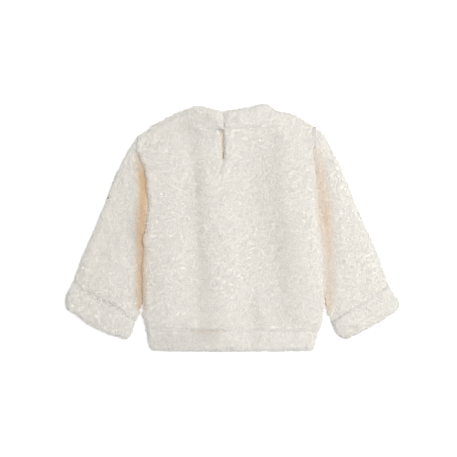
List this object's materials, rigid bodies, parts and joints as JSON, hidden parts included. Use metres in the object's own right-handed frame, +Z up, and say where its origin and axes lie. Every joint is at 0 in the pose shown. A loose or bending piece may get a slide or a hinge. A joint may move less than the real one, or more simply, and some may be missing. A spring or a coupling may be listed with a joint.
{
  "type": "sherpa fleece pullover",
  "caption": "Baby's long-sleeved teddy fleece pullover with a banded neck, cuffs and hem and a slit at the back of the neck, laid flat on its front.",
  "frame": {"origin": "on the surface that the garment lies on, under the middle of its outline", "axes": "+X to the right of the laid garment, +Y from its hem to its neck, +Z up, out of its back"},
  "size_m": [0.4743, 0.3507, 0.0162],
  "materials": {
    "fleece": "curly cream teddy pile",
    "underlap": "matt knitted backing"
  },
  "bodies": {
    "root": {"front": "fleece", "back": "fleece", "sleeve_left": "fleece", "sleeve_right": "fleece", "cuff_left": "fleece", "cuff_right": "fleece", "hem_band": "fleece", "neckband": "fleece", "placket": "underlap"}
  },
  "joints": []
}
